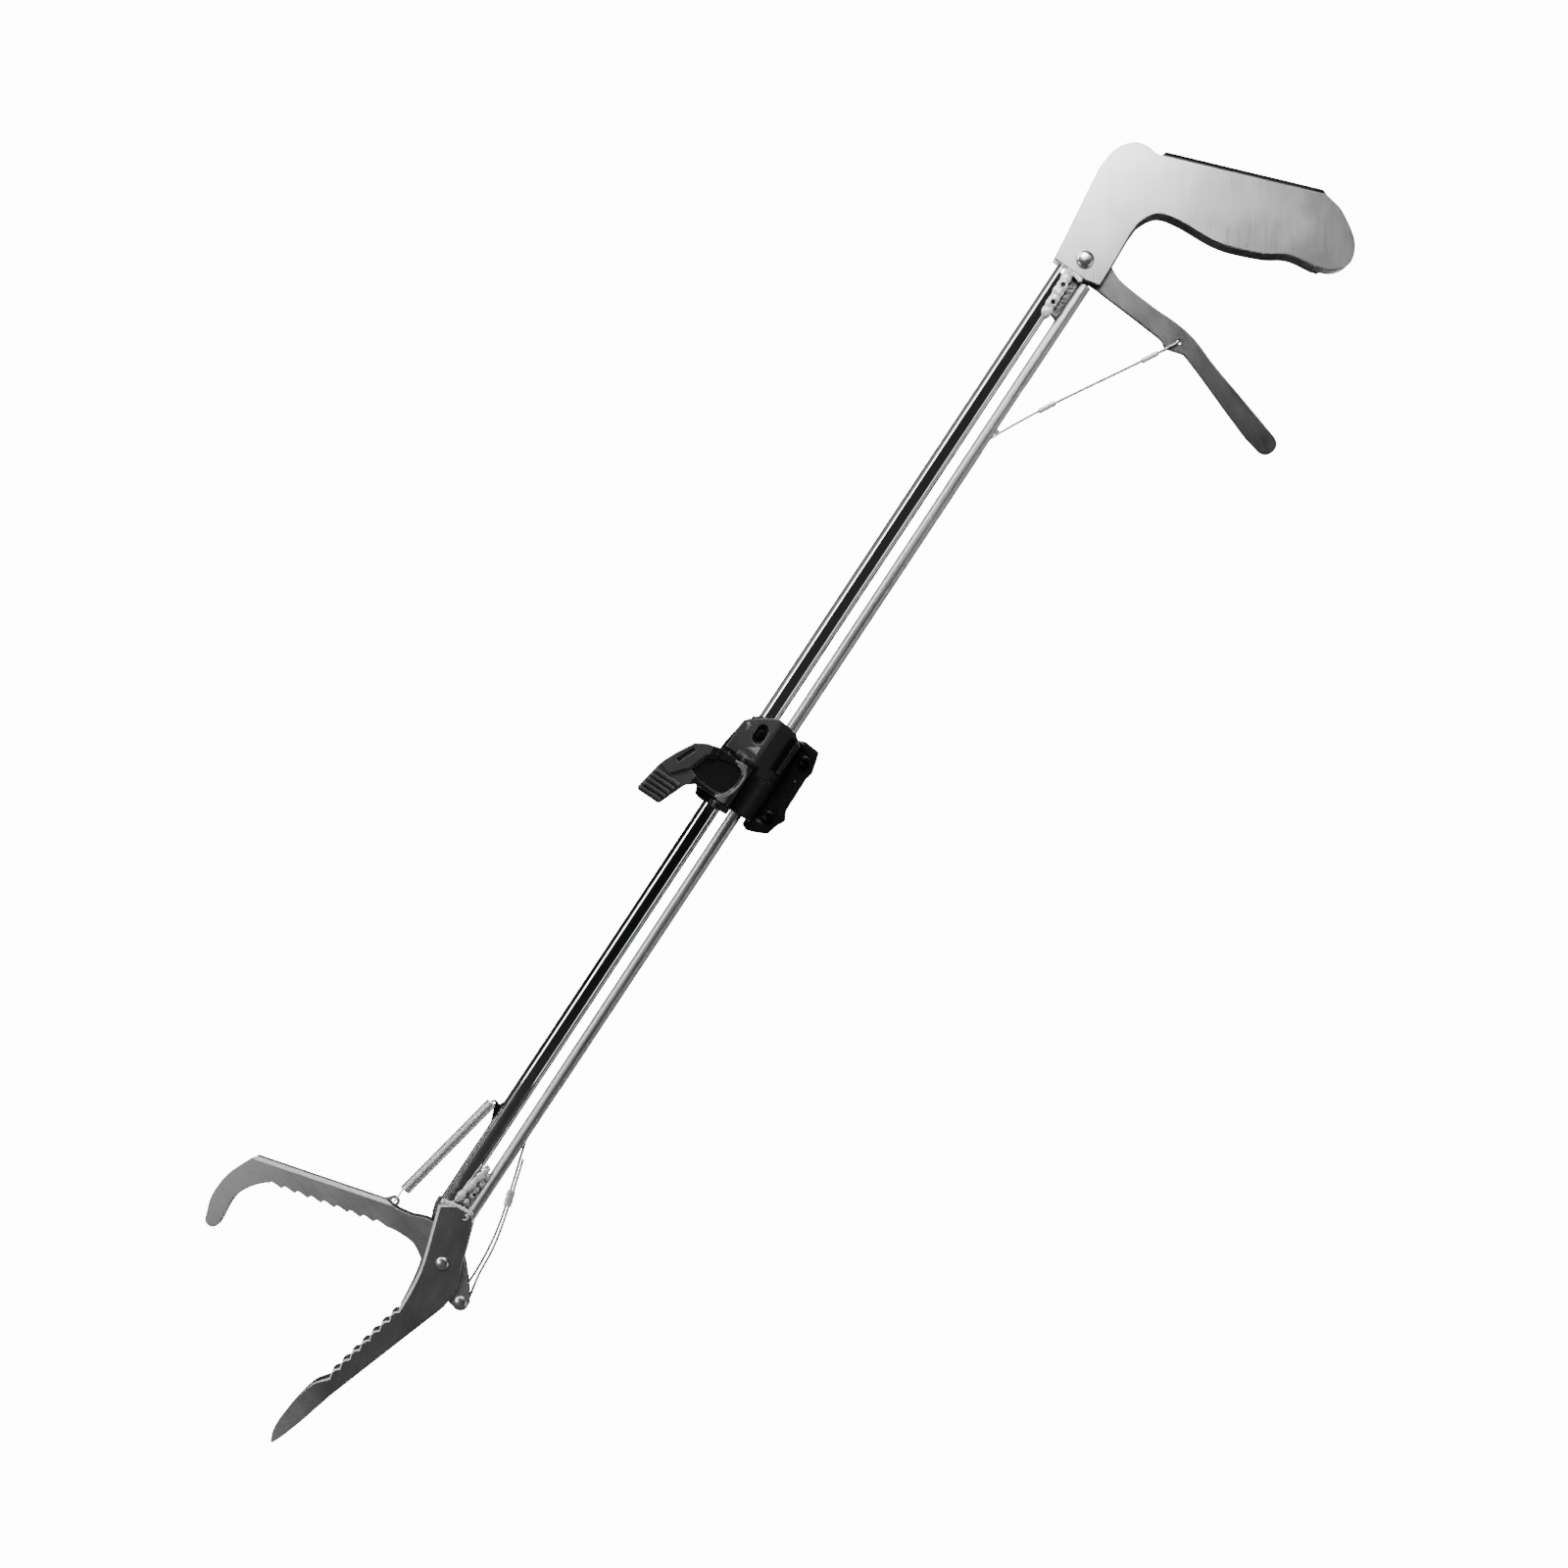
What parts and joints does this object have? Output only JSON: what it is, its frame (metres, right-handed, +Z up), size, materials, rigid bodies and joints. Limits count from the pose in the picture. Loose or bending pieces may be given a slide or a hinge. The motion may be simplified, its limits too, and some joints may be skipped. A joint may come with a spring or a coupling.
{
  "type": "reacher grabber",
  "caption": "Stainless-steel pick-up tongs with a squeeze trigger, a pull cable in a thin tube, a hooked moving jaw against a toothed fixed jaw, and a clip-on torch clamp on the shaft",
  "frame": {"origin": "the middle of the hand grip, between its two plates", "axes": "+Z up along the tube shaft from jaws to handle, +X toward the grip and trigger, -X toward the open jaw, -Y the side with the clamp lever"},
  "size_m": [0.2344, 0.0952, 0.8007],
  "materials": {
    "polished_tube": "polished stainless tube",
    "satin_tube": "satin stainless tube",
    "handle_sheet": "brushed stainless sheet, grain across the grip",
    "trigger_plate": "dull stainless plate with rounded edges",
    "fixed_jaw_sheet": "dark satin stainless sheet with bright cut edges",
    "moving_jaw_sheet": "satin stainless sheet",
    "rivets": "polished domed rivet",
    "weld": "bright lumpy weld metal",
    "bushes": "plain brass spacers",
    "cable_wire": "bright steel wire",
    "ferrules": "crimped aluminium sleeve",
    "spring": "bright drawn spring wire",
    "clamp_nylon": "black moulded nylon",
    "clamp_rubber": "black rubber",
    "black_screws": "black oxide steel"
  },
  "bodies": {
    "frame": {"main_tube": "polished_tube", "cable_tube": "satin_tube", "spring_lug": "satin_tube", "handle_shell": "handle_sheet", "fixed_jaw": "fixed_jaw_sheet", "trigger_rivet": "rivets", "jaw_rivet": "rivets", "upper_weld_front": "weld", "upper_weld_rear": "weld", "lower_weld_front": "weld", "lower_weld_rear": "weld", "trigger_bush_front": "bushes", "trigger_bush_rear": "bushes", "clamp_shell_front": "clamp_nylon", "clamp_shell_rear": "clamp_nylon", "clamp_pad_front": "clamp_rubber", "clamp_pad_rear": "clamp_rubber", "swivel_washer": "clamp_rubber", "clamp_screw_1": "black_screws", "clamp_screw_2": "black_screws", "clamp_screw_3": "black_screws", "clamp_nut_1": "black_screws", "clamp_nut_2": "black_screws", "clamp_nut_3": "black_screws", "pad_adjuster": "black_screws", "lever_pin": "black_screws", "swivel_bolt": "black_screws"},
    "trigger": {"trigger": "trigger_plate"},
    "upper_link": {"upper_cable_loop": "cable_wire", "eye_ferrule": "ferrules", "slot_ferrule": "ferrules"},
    "inner_cable": {"pull_cable": "cable_wire"},
    "moving_jaw": {"moving_jaw": "moving_jaw_sheet", "tail_rivet": "rivets"},
    "lower_link": {"lower_cable_loop": "cable_wire", "tail_ferrule": "ferrules"},
    "spring_top": {"return_spring": "spring"},
    "spring_foot": {"spring_foot_hook": "spring"},
    "cam_lever": {"cam_lever": "clamp_nylon"},
    "cam_plunger": {"cam_plunger": "black_screws"},
    "torch_holder": {"torch_ring": "clamp_nylon", "torch_pad": "clamp_rubber", "torch_nut": "black_screws"},
    "torch_thumbscrew": {"torch_thumbscrew": "clamp_nylon"}
  },
  "joints": [
    {"name": "trigger_squeeze", "type": "hinge", "parent": "frame", "child": "trigger", "pos_m": [-0.0549, 0, -0.0688], "axis": [0, -1, 0], "range_deg": [0, 22], "stiffness_Nm_per_rad": 1.2, "springref_deg": -14.32},
    {"name": "cable_pull", "type": "slide", "parent": "frame", "child": "inner_cable", "axis": [0, 0, 1], "range_m": [0, 0.0229]},
    {"name": "jaw_close", "type": "hinge", "parent": "frame", "child": "moving_jaw", "pos_m": [-0.046, 0, -0.6578], "axis": [0, -1, 0], "range_deg": [0, 64.2]},
    {"name": "upper_cable_swing", "type": "hinge", "parent": "trigger", "child": "upper_link", "pos_m": [0.0065, 0, -0.0764], "axis": [0, -1, 0], "range_deg": [-21.8, 0.2]},
    {"name": "lower_cable_swing", "type": "hinge", "parent": "moving_jaw", "child": "lower_link", "pos_m": [-0.0279, 0, -0.6693], "axis": [0, -1, 0], "range_deg": [-64.2, 0.2]},
    {"name": "spring_swing", "type": "hinge", "parent": "frame", "child": "spring_top", "pos_m": [-0.068, 0, -0.577], "axis": [0, -1, 0], "range_deg": [-0.2, 10]},
    {"name": "spring_stretch", "type": "slide", "parent": "spring_top", "child": "spring_foot", "axis": [-0.2118, 0, -0.9773], "range_m": [0, 0.0385], "deforming": ["return_spring", "spring_foot_hook"]},
    {"name": "lever_open", "type": "hinge", "parent": "frame", "child": "cam_lever", "pos_m": [-0.0575, -0.0234, -0.3805], "axis": [0, 0, 1], "range_deg": [0, 110]},
    {"name": "plunger_release", "type": "slide", "parent": "frame", "child": "cam_plunger", "axis": [0, -1, 0], "range_m": [0, 0.00105]},
    {"name": "torch_swivel", "type": "hinge", "parent": "frame", "child": "torch_holder", "pos_m": [-0.05465, 0.0208, -0.3685], "axis": [0, 1, 0], "continuous": true},
    {"name": "torch_screw_turn", "type": "hinge", "parent": "torch_holder", "child": "torch_thumbscrew", "pos_m": [-0.05465, 0.0615, -0.3685], "axis": [1, 0, 0], "continuous": true}
  ],
  "couplings": [
    {"joint": "cable_pull", "follows": "trigger_squeeze", "m_per_rad": 0.059028},
    {"joint": "jaw_close", "follows": "trigger_squeeze", "ratio": 2.9059},
    {"joint": "upper_cable_swing", "follows": "trigger_squeeze", "ratio": -0.97273},
    {"joint": "lower_cable_swing", "follows": "trigger_squeeze", "ratio": -2.9009},
    {"joint": "spring_swing", "follows": "trigger_squeeze", "ratio": 0.44409},
    {"joint": "spring_stretch", "follows": "trigger_squeeze", "m_per_rad": 0.099564},
    {"joint": "plunger_release", "follows": "lever_open", "m_per_rad": 0.0005209}
  ]
}
